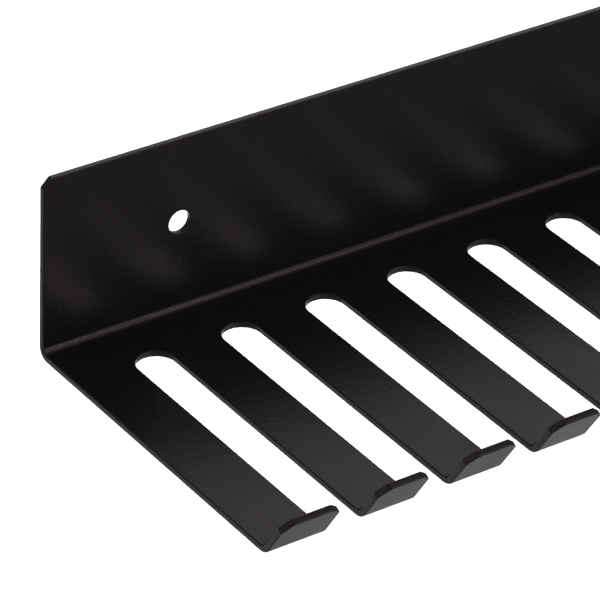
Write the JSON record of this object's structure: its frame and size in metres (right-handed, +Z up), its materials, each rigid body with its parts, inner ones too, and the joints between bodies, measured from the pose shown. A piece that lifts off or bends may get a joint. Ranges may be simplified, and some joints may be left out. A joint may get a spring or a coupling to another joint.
{
  "type": "wall cue rack",
  "caption": "Folded sheet-steel wall rack: an upright flange with screw holes and a slotted shelf whose fingers end in upturned tips.",
  "frame": {"origin": "midway between the two screw holes, on the flange's back face (the face that lies on the wall)", "axes": "+X along the rack, +Z up, -Y out from the wall over the shelf"},
  "size_m": [0.5224, 0.1586, 0.0762],
  "materials": {
    "powder_coat": "satin black powder coat"
  },
  "bodies": {
    "root": {"wall_flange": "powder_coat", "corner_bend": "powder_coat", "shelf_strip": "powder_coat", "finger_01": "powder_coat", "finger_02": "powder_coat", "finger_03": "powder_coat", "finger_04": "powder_coat", "finger_05": "powder_coat", "finger_06": "powder_coat", "finger_07": "powder_coat", "finger_08": "powder_coat", "finger_09": "powder_coat", "finger_10": "powder_coat", "finger_11": "powder_coat", "finger_12": "powder_coat", "finger_13": "powder_coat", "finger_14": "powder_coat", "tip_01": "powder_coat", "tip_02": "powder_coat", "tip_03": "powder_coat", "tip_04": "powder_coat", "tip_05": "powder_coat", "tip_06": "powder_coat", "tip_07": "powder_coat", "tip_08": "powder_coat", "tip_09": "powder_coat", "tip_10": "powder_coat", "tip_11": "powder_coat", "tip_12": "powder_coat", "tip_13": "powder_coat", "tip_14": "powder_coat"}
  },
  "joints": []
}
